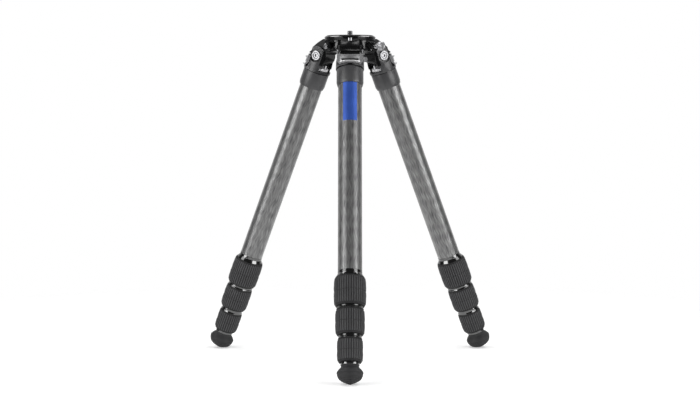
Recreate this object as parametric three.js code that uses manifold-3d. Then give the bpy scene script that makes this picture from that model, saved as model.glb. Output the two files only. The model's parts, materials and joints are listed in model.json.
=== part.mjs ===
// A carbon fibre tripod: a cast spider with a round camera platform, and three legs of four telescoping
// tubes with twist locks. Millimetres and degrees, +Z up. The tripod stands on z = 0 with the centre of its
// footprint at the origin; its own axis runs up through the camera screw.
//
// A leg is modelled upright in its own frame: the hinge axis is Y, the tubes run down -Z, and +X points
// away from the tripod. Distances down a leg are counted from the hinge.
import * as THREE from 'three';
import { mergeVertices } from 'three/addons/utils/BufferGeometryUtils.js';
import Module from 'manifold-3d';

const wasm = await Module();
wasm.setup();

// ---------------------------------------------------------------- driving dimensions
const legAzimuths = { front: -90, right: 30, left: 150 };
const legSpread = 22.71; // from the vertical, on the first angle stop
const stopSpreads = [legSpread, 50, 84]; // the angle stops cut in each hinge drum

const seat = 0.3; // gap between two pieces that rest on each other
const slide = 0.5; // radial gap of a sliding tube
const swing = 0.6; // side gap of the hinge drum between its cheeks

// Hinge
const hingeRadius = 56.4; // hinge axis to the tripod's axis
const drumRadius = 18;
const drumWidth = 31.4;
const notchDepth = 3;
const boltRadius = 4.75;
const boltHeadRadius = 8.5;
const boltHeadHeight = 2.5;
const boltSocket = 8; // across the flats

// Spider, heights counted from the hinge axis
const hubBottom = 6.5;
const hubTop = 30;
const flangeHeight = 6;
const flangeRadius = 44;
const cheekSlot = 24.8; // half the width left free for a fork beside the arm
const bowlRadius = 36;
const bowlFloor = 22.8;
const hubBore = 11;
const pocketHalfWidth = 18;
const pocketBottomHalfWidth = 7;
const pocketFloor = 30; // from the tripod's axis
const pocketSill = 9;
const pocketHead = 21;
const pocketChamfer = 2;

// Platform
const platformRadius = 44.5;
const platformRim = 2.3;
const platformChamfer = 1.2;
const padRadius = 43;
const padThickness = 1.6;
const studRadius = 4.76; // 3/8 inch
const studHeight = 8; // above the pad
const studFlangeRadius = 14;
const studFlangeHeight = 3;
const studHubRadius = 8;
const studSocket = 9; // across the flats

// Fittings of the spider
const pinRadius = 4.35;
const pinHeight = 4.6;
const pinTravel = 2.5;
const knobRadius = 7.85;
const knobThickness = 8.6;
const knobNeckRadius = 3.9;
const knobReach = 66; // outer face to the tripod's axis
const ringScrewRadius = 6.2;
const ringScrewReach = 50;
const releaseKnobRadius = 10.5;
const releaseKnobHeight = 12.5;
const releaseKnobOffset = 22.6;
const releaseKnobDrop = 12; // underside below the hinge axis
const releaseStemRadius = 4;
const releaseStemDepth = 2.6; // stem let into the spider

// Fork
const cheekRadius = 16.5; // round top of a cheek about the hinge
const cheekFace = 19.5; // flat under a bolt head, from the leg's middle plane
const spotRadius = 12;
const forkTopRadius = 22;
const forkRadius = 24.1;
const forkShoulder = 14; // where the cheeks reach the full radius
const seamStart = 28.2;
const seamWidth = 1.3;
const seamDepth = 1.5;
const sleeveRadius = 22.8;
const sleeveEnd = 58;
const sleeveLip = 5; // length of the taper at the sleeve's end
const plugTop = 19.2;
const forkWeb = 11; // from the plug's top to the tube's end
const plugRadius = 15.9;
const plugWindow = 4.4; // height of the plug left in view

// Angle tab
const tabTop = 10.6;
const tabBottom = 24;
const tabLip = 1.2;
const tabLipRadius = 27;
const tabFaceRadius = 24.2;
const tabFaceEnd = 17.6;
const tabGrooveRadius = 21.4;
const tabWingTop = 5.5;
const tabWingBottom = 21;
const tabWingThickness = 2.2;
const tabWingEdge = 8.6; // how far the wings reach back round the fork

// Tubes, twist locks and foot, from the top tube down
const topTubeRadius = 20;
const tubeWall = 1.5;
const topTubeLength = 356.5;
const tubeHeads = [null, 46, 50, 54]; // upper ends of the sliding tubes
const ferruleRing = 4.5;
const ferruleWall = 0.25; // ring stands proud of its tube
const lockLengths = [49, 43.5, 39.3];
const lockRadii = [26.7, 24.4, 21.4];
const lockCones = [5.2, 9, 6.4];
const lockReveals = [null, 4.5, 6]; // ferrule left in view above a grip
const coneInset = 3.6; // widest part of a ferrule's cone, in from the grip below it
const threadLength = 24;
const threadDepth = 1.6;
const footCollarRadius = 15.5;
const footCollarHeight = 4.4;
const footNeckRadius = 14.8;
const footRadius = 21.65;
const footFlare = 10; // collar to the widest part
const footBand = 6;
const footDome = 13;

// ---------------------------------------------------------------- geometry helpers
const round = 16; // facets of a turned piece
const fine = 24; // facets of the widest ones
const small = 12; // facets of knobs, screws and pins
const rad = THREE.MathUtils.degToRad;
const V2 = (x, y) => new THREE.Vector2(x, y);
const clear = (radius) => radius / Math.cos(Math.PI / round); // a faceted bore that clears this radius

// Only positions, shared vertices merged, no collapsed triangles, faces pointing out.
function weld(geometry) {
  const bare = new THREE.BufferGeometry();
  bare.setAttribute('position', geometry.getAttribute('position').clone());
  bare.setIndex(geometry.getIndex() ? geometry.getIndex().clone() : null);
  const merged = mergeVertices(bare, 1e-4);
  const position = merged.getAttribute('position');
  const index = merged.getIndex().array;
  const kept = [];
  let volume = 0;
  const [a, b, c] = [new THREE.Vector3(), new THREE.Vector3(), new THREE.Vector3()];
  for (let i = 0; i < index.length; i += 3) {
    const [p, q, r] = [index[i], index[i + 1], index[i + 2]];
    if (p === q || q === r || r === p) continue;
    kept.push(p, q, r);
    a.fromBufferAttribute(position, p);
    b.fromBufferAttribute(position, q);
    c.fromBufferAttribute(position, r);
    volume += a.dot(b.cross(c));
  }
  if (volume < 0) kept.reverse();
  merged.setIndex(kept);
  return merged;
}

function toSolid(geometry) {
  const clean = weld(geometry);
  return new wasm.Manifold(new wasm.Mesh({
    numProp: 3,
    vertProperties: new Float32Array(clean.getAttribute('position').array),
    triVerts: new Uint32Array(clean.getIndex().array),
  }));
}

function toGeometry(solid) {
  const { vertProperties, triVerts } = solid.getMesh();
  const geometry = new THREE.BufferGeometry();
  geometry.setAttribute('position', new THREE.BufferAttribute(vertProperties, 3));
  geometry.setIndex(Array.from(triVerts));
  return geometry;
}

const combine = (how) => (first, ...rest) => toGeometry(
  rest.reduce((solid, next) => solid[how](toSolid(next)), toSolid(first)));
const join = combine('add');
const cut = combine('subtract');
const common = combine('intersect');

// A revolve about Z of [radius, height] points, on the axis at both ends or closed on itself.
function revolve(points, segments = round) {
  const profile = points.map(([radius, height]) => V2(radius, height));
  const open = points[0][0] > 0 || points.at(-1)[0] > 0;
  if (open) profile.push(profile[0].clone());
  return new THREE.LatheGeometry(profile, segments).rotateX(Math.PI / 2);
}

// A plain ring or, with no inner radius, a disc between two heights.
function ring(outer, inner, low, high, segments = round) {
  return inner > 0
    ? revolve([[inner, low], [outer, low], [outer, high], [inner, high]], segments)
    : revolve([[0, low], [outer, low], [outer, high], [0, high]], segments);
}

function box(low, high) {
  const size = new THREE.Vector3().subVectors(high, low);
  const centre = new THREE.Vector3().addVectors(high, low).multiplyScalar(0.5);
  return new THREE.BoxGeometry(size.x, size.y, size.z).translate(centre.x, centre.y, centre.z);
}

// A [x, z] outline carried across the leg, centred on its middle plane.
function across(outline, width) {
  const shape = outline instanceof THREE.Shape ? outline : new THREE.Shape(outline.map(([x, z]) => V2(x, z)));
  return new THREE.ExtrudeGeometry(shape, { depth: width, bevelEnabled: false, curveSegments: 8 })
    .translate(0, 0, -width / 2).rotateX(Math.PI / 2);
}

// A pin or bore along Y through a point of the leg's middle plane.
function crossPin(radius, width, x = 0, z = 0, segments = round) {
  return new THREE.CylinderGeometry(radius, radius, width, segments).translate(x, 0, z);
}

// A hexagon socket along Z, its floor at one height and its mouth at another.
function hexSocket(acrossFlats, low, high) {
  return new THREE.CylinderGeometry(acrossFlats / Math.sqrt(3), acrossFlats / Math.sqrt(3), high - low, 6)
    .rotateX(Math.PI / 2).translate(0, 0, (low + high) / 2);
}

// Points of an arc about a centre, from one angle to another, both included.
function arc(x, z, radius, from, to, steps) {
  return Array.from({ length: steps + 1 }, (_, i) => {
    const angle = rad(from + (to - from) * i / steps);
    return [x + radius * Math.cos(angle), z + radius * Math.sin(angle)];
  });
}

// A closed skin through rings of points, with flat convex ends.
function loft(rings) {
  const count = rings[0].length;
  const points = rings.flat();
  const index = [];
  for (let i = 0; i + 1 < rings.length; i++) {
    for (let j = 0; j < count; j++) {
      const [a, b] = [i * count + j, i * count + (j + 1) % count];
      index.push(a, b, b + count, a, b + count, a + count);
    }
  }
  const last = (rings.length - 1) * count;
  for (let j = 1; j + 1 < count; j++) {
    index.push(0, j + 1, j, last, last + j, last + j + 1);
  }
  return new THREE.BufferGeometry().setFromPoints(points).setIndex(index);
}

// ---------------------------------------------------------------- materials
const finish = (color, roughness, metalness) => ({ color, roughness, metalness });
const finishes = {
  blackCasting: finish(0x1d1d1f, 0.45, 0.6),
  greyCasting: finish(0x3c3d40, 0.5, 0.6),
  blackGloss: finish(0x0b0b0c, 0.12, 0.4),
  steel: finish(0xc9cacc, 0.25, 1),
  titanium: finish(0x9b9c9f, 0.35, 0.9),
  pad: finish(0x141414, 0.9, 0),
  carbon: finish(0x6b6d70, 0.35, 0.2),
  rubber: finish(0x2b2b2c, 0.8, 0),
};

function part(name, geometry, finishName) {
  const mesh = new THREE.Mesh(weld(geometry), new THREE.MeshStandardMaterial(finishes[finishName]));
  mesh.geometry.computeVertexNormals();
  mesh.name = name;
  return mesh;
}

// ---------------------------------------------------------------- derived sizes
const drumHalf = drumWidth / 2;
const cheekInner = drumHalf + swing;
const slotFloor = hingeRadius - cheekRadius - 1;
const tubeEnd = plugTop + forkWeb; // upper end of the top tube
const platformUnder = hubTop + seat;
const platformTop = platformUnder + platformRim;
const padTop = platformTop + seat + padThickness;
const stopTop = legSpread - THREE.MathUtils.radToDeg(Math.atan2(tabTop, drumRadius)); // the first stop's angle
const stopAngles = stopSpreads.map((spread) => stopTop + spread - legSpread);

const tubes = [0, 1, 2, 3].map((i) => ({ radius: topTubeRadius - i * (tubeWall + slide) }));
const locks = lockLengths.map((length, i) => ({ length, radius: lockRadii[i], cone: lockCones[i] }));
locks.forEach((lock, i) => {
  const above = locks[i - 1];
  lock.top = above ? above.bottom + lockReveals[i] : tubeEnd + seat + topTubeLength + ferruleRing + lock.cone;
  lock.bottom = lock.top + lock.length;
  lock.coneTop = lock.top - seat - lock.cone;
  lock.threadEnd = lock.top + threadLength;
});
tubes.forEach((tube, i) => {
  tube.top = i === 0 ? tubeEnd + seat : tubeHeads[i];
  tube.bottom = i < locks.length ? locks[i].threadEnd : locks[i - 1].bottom;
});
const footTop = locks.at(-1).bottom + seat;

// ---------------------------------------------------------------- the spider and what it carries
// Outline of an arm in the leg's middle plane: the saddle under the flange, a nose, the ratchet and the drum.
function armOutline() {
  const [rootX, noseX] = [flangeRadius + 1 - hingeRadius, 2.6];
  const polar = (radius, angle) => [radius * Math.cos(rad(angle)), radius * Math.sin(rad(angle))];
  const outline = [[rootX - 20, hubBottom], [rootX - 20, hubTop - 1.5], [rootX, hubTop - 1.5]];
  outline.push([-3.4, hubTop - 5.7], [noseX, hubTop - 9.5]);
  for (const angle of [...stopAngles].reverse()) {
    outline.push(polar(drumRadius, angle + 1.6), polar(drumRadius, angle));
    outline.push(polar(drumRadius - notchDepth, angle - 0.8));
  }
  const rampEnd = stopAngles[0] - 26;
  outline.push(...arc(0, 0, drumRadius, rampEnd, rampEnd - 151, 9));
  return outline;
}

// The tapered window between two arms, cut along +X, with a chamfer round its mouth.
function pocket() {
  const corner = (pocketSill + pocketHead) / 2;
  const outlineAt = (x, grow) => {
    const [side, foot] = [pocketHalfWidth + grow, pocketBottomHalfWidth + grow / 2];
    return [
      [-side, pocketHead + grow], [-side, corner], [-foot, pocketSill - grow],
      [foot, pocketSill - grow], [side, corner], [side, pocketHead + grow],
    ].map(([y, z]) => new THREE.Vector3(x, y, z));
  };
  const wall = slotFloor / 2 + cheekSlot * Math.cos(rad(30));
  return loft([
    outlineAt(pocketFloor, -1), outlineAt(wall - pocketChamfer, 0), outlineAt(wall + 1, pocketChamfer + 1),
  ]);
}

// The casting before its bowl and the holes of its fittings are cut.
function spiderBlank() {
  // Six-sided hub: a floor behind each pair of cheeks, and a wall between two arms.
  const plan = new THREE.Shape(Object.values(legAzimuths).flatMap((azimuth) => [-1, 1].map(
    (side) => V2(slotFloor, side * cheekSlot).rotateAround(V2(0, 0), rad(azimuth)))));
  const flangeBottom = hubTop - flangeHeight;
  const hub = new THREE.ExtrudeGeometry(plan, { depth: flangeBottom + 0.5 - hubBottom, bevelEnabled: false })
    .translate(0, 0, hubBottom);
  const flange = revolve([
    [0, flangeBottom], [flangeRadius - 1.5, flangeBottom], [flangeRadius, flangeBottom + 1.5],
    [flangeRadius, hubTop], [0, hubTop],
  ], fine);
  const azimuths = Object.values(legAzimuths);
  const arms = azimuths.map((azimuth) => across(armOutline(), drumWidth)
    .translate(hingeRadius, 0, 0).rotateZ(rad(azimuth)));
  const bores = azimuths.map((azimuth) => crossPin(boltRadius + 0.4, drumWidth + 4, hingeRadius, 0)
    .rotateZ(rad(azimuth)));
  const pockets = azimuths.map((azimuth) => pocket().rotateZ(rad(azimuth + 60)));
  return cut(join(hub, flange, ...arms), ...bores, ...pockets);
}

function platformGeometry() {
  const skirt = bowlRadius - seat;
  const web = platformUnder - 3.3;
  return revolve([
    [studRadius + 0.5, web], [studFlangeRadius + 11, web], [studFlangeRadius + 11, bowlFloor + seat],
    [skirt, bowlFloor + seat], [skirt, platformUnder], [platformRadius, platformUnder],
    [platformRadius, platformTop - platformChamfer], [platformRadius - platformChamfer, platformTop],
    [studRadius + 0.5, platformTop],
  ], fine);
}

function cameraScrewGeometry() {
  const web = platformUnder - 3.3 - seat;
  const end = padTop + studHeight;
  const bottom = hubBottom + 4;
  const turned = revolve([
    [0, bottom], [studHubRadius, bottom], [studHubRadius, web - studFlangeHeight],
    [studFlangeRadius, web - studFlangeHeight], [studFlangeRadius, web], [studRadius, web],
    [studRadius, end - 0.6], [studRadius - 0.6, end], [0, end],
  ]);
  return cut(turned, hexSocket(studSocket, bottom - 1, bottom + 6));
}

// A knob or screw that points away from the tripod's axis along +X, from [radius, reach] points.
const radial = (points, segments) => revolve(points, segments).rotateY(Math.PI / 2);

function headMeshes() {
  const between = (leg) => rad(legAzimuths[leg] + 60);
  const fittingHeight = (pocketSill + pocketHead) / 2;
  const pinSeat = hubTop - 5.5;
  const pinBore = { radius: pinRadius + seat, x: platformRadius + pinRadius + 0.7 };
  const knobHole = ring(knobNeckRadius + 0.4, 0, pocketFloor - 7, pocketFloor + 1, small).rotateY(Math.PI / 2)
    .translate(0, 0, fittingHeight).rotateZ(between('front'));
  const screwBoss = ring(ringScrewRadius + 2, 0, pocketFloor - 3, ringScrewReach - 4, small).rotateY(Math.PI / 2)
    .translate(0, 0, fittingHeight).rotateZ(between('left'));
  const screwHole = ring(3, 0, pocketFloor + 2, ringScrewReach, small).rotateY(Math.PI / 2)
    .translate(0, 0, fittingHeight).rotateZ(between('left'));
  const pinHole = ring(pinBore.radius, 0, pinSeat - 9, hubTop + 3, small)
    .translate(pinBore.x, 0, 0).rotateZ(rad(legAzimuths.front));
  const releaseHole = ring(releaseStemRadius + 0.4, 0, hubBottom - 3, hubBottom + releaseStemDepth + 0.6, small)
    .translate(releaseKnobOffset, 0, 0).rotateZ(between('front'));
  const bowl = ring(bowlRadius, 0, bowlFloor, hubTop + 5, fine);
  const hubHole = ring(hubBore, 0, hubBottom - 5, bowlFloor + 5);
  const spider = cut(join(spiderBlank(), screwBoss), bowl, hubHole, knobHole, screwHole, pinHole, releaseHole);

  const pad = revolve([
    [studRadius + 1.2, platformTop + seat], [padRadius, platformTop + seat], [padRadius, padTop - 0.5],
    [padRadius - 0.5, padTop], [studRadius + 1.2, padTop],
  ], fine);
  const lockPin = revolve([
    [0, pinSeat - pinTravel - 3], [pinRadius, pinSeat - pinTravel - 3], [pinRadius, pinSeat + pinHeight - 0.6],
    [pinRadius - 0.6, pinSeat + pinHeight], [0, pinSeat + pinHeight],
  ], small).translate(pinBore.x, 0, 0).rotateZ(rad(legAzimuths.front));
  const face = knobReach - knobThickness;
  const clampKnob = radial([
    [0, pocketFloor - 5], [knobNeckRadius, pocketFloor - 5], [knobNeckRadius, face - 1.5],
    [knobNeckRadius - 1, face - 1.5], [knobNeckRadius - 1, face], [knobRadius - 0.8, face],
    [knobRadius, face + 0.8], [knobRadius, knobReach - 0.8], [knobRadius - 0.8, knobReach], [0, knobReach],
  ], small).translate(0, 0, fittingHeight).rotateZ(between('front'));
  const ringScrew = cut(radial([
    [0, pocketFloor + 3], [2.6, pocketFloor + 3], [2.6, ringScrewReach - 3.7],
    [ringScrewRadius, ringScrewReach - 3.7], [ringScrewRadius, ringScrewReach - 0.5],
    [ringScrewRadius - 0.5, ringScrewReach], [0, ringScrewReach],
  ], small), hexSocket(5, ringScrewReach - 3, ringScrewReach + 1).rotateY(Math.PI / 2))
    .translate(0, 0, fittingHeight).rotateZ(between('left'));
  const knobTop = releaseKnobHeight - releaseKnobDrop;
  const releaseKnob = revolve([
    [0, -releaseKnobDrop], [releaseKnobRadius - 0.8, -releaseKnobDrop], [releaseKnobRadius, 0.8 - releaseKnobDrop],
    [releaseKnobRadius, knobTop - 4], [releaseKnobRadius - 3.5, knobTop], [releaseStemRadius, knobTop],
    [releaseStemRadius, hubBottom + releaseStemDepth], [0, hubBottom + releaseStemDepth],
  ], small).translate(releaseKnobOffset, 0, 0).rotateZ(between('front'));

  return [
    part('spider', spider, 'blackCasting'),
    part('platform_plate', platformGeometry(), 'blackCasting'),
    part('platform_pad', pad, 'pad'),
    part('camera_screw', cameraScrewGeometry(), 'steel'),
    part('lock_pin', lockPin, 'steel'),
    part('clamp_knob', clampKnob, 'steel'),
    part('ring_screw', ringScrew, 'steel'),
    part('release_knob', releaseKnob, 'steel'),
  ];
}

// ---------------------------------------------------------------- the hinge end of a leg
// What the angle tab fills in the fork's outer face, grown by a clearance.
function tabRecess(gap) {
  const shell = ring(60, tabFaceRadius - tabWingThickness - gap, -(tabBottom + gap), -(tabWingTop - gap));
  return common(shell, box(new THREE.Vector3(tabWingEdge - gap, -60, -60), new THREE.Vector3(60, 60, 0)));
}

function forkGeometry() {
  const body = revolve([
    [0, cheekRadius + 1], [forkTopRadius, cheekRadius + 1], [forkTopRadius, 0], [forkRadius - 0.3, -forkShoulder],
    [forkRadius, -seamStart], [sleeveRadius - seamDepth, -seamStart],
    [sleeveRadius - seamDepth, -(seamStart + seamWidth)], [sleeveRadius, -(seamStart + seamWidth)],
    [sleeveRadius, -(sleeveEnd - sleeveLip)], [sleeveRadius - 1.2, -sleeveEnd], [0, -sleeveEnd],
  ], fine);
  const flank = forkRadius + 1;
  const side = [[-flank, -sleeveEnd - 1], [flank, -sleeveEnd - 1], [flank, -18],
    ...arc(0, 0, cheekRadius, -8, 188, 12), [-flank, -18]];
  const cheeks = common(body, across(side, 2 * flank));
  const far = forkRadius + 5;
  const slot = box(new THREE.Vector3(-far, -cheekInner, -plugTop), new THREE.Vector3(far, cheekInner, far));
  const window = box(new THREE.Vector3(-far, -plugRadius, -(plugTop + plugWindow)),
    new THREE.Vector3(0, plugRadius, -plugTop + 1));
  const tabMouth = box(new THREE.Vector3(0, -cheekInner, -(tabBottom + 0.4)),
    new THREE.Vector3(far, cheekInner, -plugTop + 1));
  const bore = ring(plugRadius + 0.4, 0, -(tubeEnd + 1), -plugTop + 2);
  const socket = ring(topTubeRadius + seat, 0, -(sleeveEnd + 1), -tubeEnd);
  const spots = [-1, 1].map((sign) => crossPin(spotRadius, 10).translate(0, sign * (cheekFace + 5), 0));
  const boltHole = crossPin(boltRadius + seat, 80, 0, 0, small);
  const thumb = new THREE.SphereGeometry(14, 12, 8).scale(1, 1.9, 1)
    .translate(forkRadius + 14 - 2.1, 0, -(tabBottom - 2.5));
  return cut(cheeks, slot, window, tabMouth, bore, socket, ...spots, boltHole, tabRecess(0.4), thumb);
}

function hingeBoltGeometry() {
  const end = cheekFace + seat + boltHeadHeight;
  const half = [
    [boltRadius, cheekFace + seat], [boltHeadRadius, cheekFace + seat], [boltHeadRadius, end - 0.6],
    [boltHeadRadius - 0.6, end], [0, end],
  ];
  const mirrored = [...half].reverse().map(([radius, height]) => [radius, -height]);
  const turned = revolve([...mirrored, ...half], small);
  const sockets = [hexSocket(boltSocket, end - 2.5, end + 1), hexSocket(boltSocket, -end - 1, 2.5 - end)];
  return cut(turned, ...sockets).rotateX(Math.PI / 2);
}

function angleTabGeometry() {
  const inner = tabFaceRadius - tabWingThickness;
  // The finger grip: a lip, a flat face, an undercut and a scoop that flares to the lower lip.
  const grip = revolve([
    [inner, -tabTop], [tabLipRadius, -tabTop], [tabLipRadius, -(tabTop + tabLip)],
    [tabFaceRadius, -(tabTop + tabLip + 0.8)], [tabFaceRadius, -tabFaceEnd], [tabGrooveRadius + 0.4, -(tabFaceEnd + 0.6)],
    [tabGrooveRadius + 0.8, -(tabFaceEnd + 2)], [tabGrooveRadius + 2.2, -(tabBottom - 2.4)],
    [tabLipRadius, -(tabBottom - tabLip)], [tabLipRadius, -tabBottom], [inner, -tabBottom],
  ].map(([radius, height]) => [Math.max(radius, inner - 0.001), height]));
  const far = tabLipRadius + 5;
  const front = box(new THREE.Vector3(far * 0.55, -far * 0.68, -far), new THREE.Vector3(far, far * 0.68, 0));
  const wingRing = ring(tabFaceRadius, inner, -tabWingBottom, -tabWingTop);
  const wings = common(wingRing, box(new THREE.Vector3(tabWingEdge, -far, -far), new THREE.Vector3(far, far, 0)));
  const notch = box(new THREE.Vector3(0, -cheekInner, -tabTop), new THREE.Vector3(far, cheekInner, 5));
  const slider = box(new THREE.Vector3(plugRadius + 1.2, -(cheekInner - 0.4), -tabBottom),
    new THREE.Vector3(inner + 1, cheekInner - 0.4, -tabTop));
  const body = join(cut(wings, notch), common(grip, front), slider);
  return cut(body, crossPin(drumRadius + 0.4, 2 * cheekInner, 0, 0, fine), boltClearance(1), boltClearance(-1));
}

const boltClearance = (side) => crossPin(spotRadius + 0.3, 10).translate(0, side * (cheekFace + 5), 0);

function plugGeometry() {
  const bore = topTubeRadius - tubeWall - seat;
  const end = tubeEnd + 9;
  const plug = revolve([
    [0, -plugTop], [plugRadius - 0.8, -plugTop], [plugRadius, -(plugTop + 0.8)], [plugRadius, -(tubeEnd + 0.6)],
    [bore, -(tubeEnd + 0.6)], [bore, -end], [bore - 4, -end], [bore - 4, -(end - 6)], [0, -(end - 6)],
  ]);
  const post = ring(1.6, 0, -(plugTop + 1), -(plugTop - 5.6), 8).translate(-(plugRadius - 1.9), 0, 0);
  return join(plug, post);
}

// ---------------------------------------------------------------- tubes, locks and foot
const spigotRadius = (tube) => tube.radius - tubeWall / 2;

function tubeGeometry(i) {
  const tube = tubes[i];
  const lock = locks[i];
  const inner = tube.radius - tubeWall;
  if (!lock) return ring(tube.radius, inner, -tube.bottom, -tube.top);
  const shoulder = lock.coneTop - ferruleRing - seat;
  return revolve([
    [inner, -tube.top], [tube.radius, -tube.top], [tube.radius, -shoulder], [spigotRadius(tube), -shoulder],
    [spigotRadius(tube), -tube.bottom], [inner, -tube.bottom],
  ]);
}

function ferruleGeometry(i) {
  const tube = tubes[i];
  const lock = locks[i];
  const bore = spigotRadius(tube) + 0.35;
  const proud = tube.radius + ferruleWall;
  const thread = tube.radius + threadDepth;
  return revolve([
    [bore, -(lock.coneTop - ferruleRing)], [proud, -(lock.coneTop - ferruleRing)], [proud, -lock.coneTop],
    [lock.radius - coneInset, -(lock.top - seat)], [thread, -(lock.top - seat)], [thread, -lock.threadEnd],
    [bore, -lock.threadEnd],
  ]);
}

// The outer profile of a grip, as [distance from the axis, distance below the grip's top].
function gripProfile(lock) {
  const { radius, length } = lock;
  const waist = 0.5 * length;
  return [
    [radius - 1.7, 0], [radius - 0.6, 5], [radius, waist - 4], [radius - 0.7, waist],
    [radius, waist + 4], [radius - 0.9, length - 3.5], [radius - 2.5, length],
  ];
}

function lockGeometry(i) {
  const lock = locks[i];
  const threadBore = clear(tubes[i].radius + threadDepth + seat);
  const tubeBore = clear(tubes[i + 1].radius + ferruleWall + seat);
  const below = locks[i + 1];
  const outer = gripProfile(lock).map(([radius, down]) => [radius, -(lock.top + down)]);
  const inner = [[threadBore, -lock.top], [threadBore, -(lock.threadEnd + 0.6)], [tubeBore, -(lock.threadEnd + 0.6)]];
  if (below) {
    const slope = (below.radius - coneInset - (tubes[i + 1].radius + ferruleWall)) / below.cone;
    inner.push([tubeBore, -(below.coneTop - 0.3)]);
    inner.push([tubeBore + slope * (lock.bottom - below.coneTop + 0.3), -lock.bottom]);
  } else {
    inner.push([tubeBore, -lock.bottom]);
  }
  return revolve([...inner, ...outer.reverse()]);
}

function footMountGeometry() {
  const bore = tubes[3].radius - tubeWall - seat;
  const collarEnd = footTop + footCollarHeight;
  return revolve([
    [0, -(footTop - 22)], [bore, -(footTop - 22)], [bore, -footTop], [footCollarRadius - 0.4, -footTop],
    [footCollarRadius, -(footTop + 0.5)], [footCollarRadius, -(collarEnd - 0.5)],
    [footCollarRadius - 0.4, -collarEnd], [4.6, -collarEnd], [4.6, -(collarEnd + 11)], [0, -(collarEnd + 11)],
  ]);
}

function footGeometry() {
  const top = footTop + footCollarHeight + seat;
  const widest = top + footFlare;
  const band = widest + footBand;
  const dome = Array.from({ length: 4 }, (_, i) => {
    const t = (i + 1) / 4 * Math.PI / 2;
    return [(footRadius - 0.4) * Math.cos(t), -(band + footDome * Math.sin(t))];
  });
  dome[dome.length - 1][0] = 0;
  return revolve([
    [0, -(top + 12)], [4.9, -(top + 12)], [4.9, -top], [footNeckRadius, -top], [footNeckRadius, -(top + 2.4)],
    [footNeckRadius + 1, -(top + 4)], [footRadius - 1.2, -(widest - 1.8)], [footRadius, -widest],
    [footRadius - 0.4, -(band - 0.6)], ...dome,
  ]);
}

// ---------------------------------------------------------------- a whole leg
function leg(name) {
  const group = new THREE.Group();
  const named = (piece) => `${name}_${piece}`;
  group.add(part(named('fork'), forkGeometry(), 'greyCasting'));
  group.add(part(named('hinge_bolt'), hingeBoltGeometry(), 'steel'));
  group.add(part(named('angle_tab'), angleTabGeometry(), 'titanium'));
  group.add(part(named('tube_plug'), plugGeometry(), 'steel'));
  tubes.forEach((tube, i) => group.add(part(named(`tube_${i + 1}`), tubeGeometry(i), 'carbon')));
  locks.forEach((lock, i) => {
    group.add(part(named(`ferrule_${i + 1}`), ferruleGeometry(i), 'blackGloss'));
    group.add(part(named(`lock_${i + 1}`), lockGeometry(i), 'rubber'));
  });
  group.add(part(named('foot_mount'), footMountGeometry(), 'blackGloss'));
  group.add(part(named('foot'), footGeometry(), 'rubber'));
  return group;
}

// ---------------------------------------------------------------- assembly
const tripod = new THREE.Group();
tripod.add(...headMeshes());
for (const [name, azimuth] of Object.entries(legAzimuths)) {
  const arm = new THREE.Group();
  arm.rotation.z = rad(azimuth);
  const stance = leg(name);
  stance.position.x = hingeRadius;
  stance.rotation.y = -rad(legSpread);
  arm.add(stance);
  tripod.add(arm);
}

// Stand it on z = 0 over the middle of its footprint.
tripod.updateMatrixWorld(true);
const extent = new THREE.Box3().setFromObject(tripod, true);
const middle = extent.getCenter(new THREE.Vector3());
tripod.position.set(-middle.x, -middle.y, -extent.min.z);

const root = new THREE.Group();
root.add(tripod);
export default root;
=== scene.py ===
"""A carbon fibre tripod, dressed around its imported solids.

Sizes are in millimetres unless a line says otherwise. A leg is made upright in its own frame, with the hinge
axis along Y, the tubes down -Z and +X pointing away from the tripod, and is then set on its hinge.
"""
import json
import math

import bmesh
import bpy
from mathutils import Matrix, Vector


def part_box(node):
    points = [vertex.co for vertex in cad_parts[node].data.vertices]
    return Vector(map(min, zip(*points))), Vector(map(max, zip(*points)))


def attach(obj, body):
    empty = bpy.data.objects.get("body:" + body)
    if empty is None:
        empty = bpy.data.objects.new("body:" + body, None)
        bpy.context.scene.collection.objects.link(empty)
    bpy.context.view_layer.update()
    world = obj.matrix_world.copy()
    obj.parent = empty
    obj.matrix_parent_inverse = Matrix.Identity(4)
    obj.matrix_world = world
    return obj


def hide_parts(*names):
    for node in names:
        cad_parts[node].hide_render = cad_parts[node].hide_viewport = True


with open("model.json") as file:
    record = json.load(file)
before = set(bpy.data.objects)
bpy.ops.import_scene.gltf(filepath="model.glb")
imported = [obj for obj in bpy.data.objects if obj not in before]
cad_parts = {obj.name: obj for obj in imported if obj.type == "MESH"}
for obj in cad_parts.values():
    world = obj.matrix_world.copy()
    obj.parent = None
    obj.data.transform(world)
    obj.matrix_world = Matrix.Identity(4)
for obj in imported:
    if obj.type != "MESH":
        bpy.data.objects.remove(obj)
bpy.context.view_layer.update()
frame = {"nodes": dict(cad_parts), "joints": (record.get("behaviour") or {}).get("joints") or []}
scene = bpy.context.scene
MM = 0.001

# ---------------- Camera
# A long lens in front of the front leg, a little below the hinges, looking slightly down.
hinges = {j["child"]: Vector(j["pos_m"]) for j in frame["joints"] if j["name"].endswith("_leg_spread")}
hinge_height = hinges["front_leg"].z
pad_low, pad_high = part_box("platform_pad")
axis_x, axis_y = (pad_low.x + pad_high.x) / 2, (pad_low.y + pad_high.y) / 2

camera_distance, camera_drop, camera_tilt = 3.004, 0.0665, 3.533  # metres, metres, degrees


def placed(name, data):
    """A new object in the scene."""
    item = bpy.data.objects.new(name, data)
    scene.collection.objects.link(item)
    return item


camera_data = bpy.data.cameras.new("camera")
camera_data.lens = 88.6
camera_data.sensor_width = 36
camera_data.clip_end = 60
camera = placed("camera", camera_data)
camera.location = (axis_x, axis_y - camera_distance, hinge_height - camera_drop)
camera.rotation_euler = (math.radians(90 - camera_tilt), 0, 0)
scene.camera = camera
scene.view_settings.view_transform = "Standard"


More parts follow.
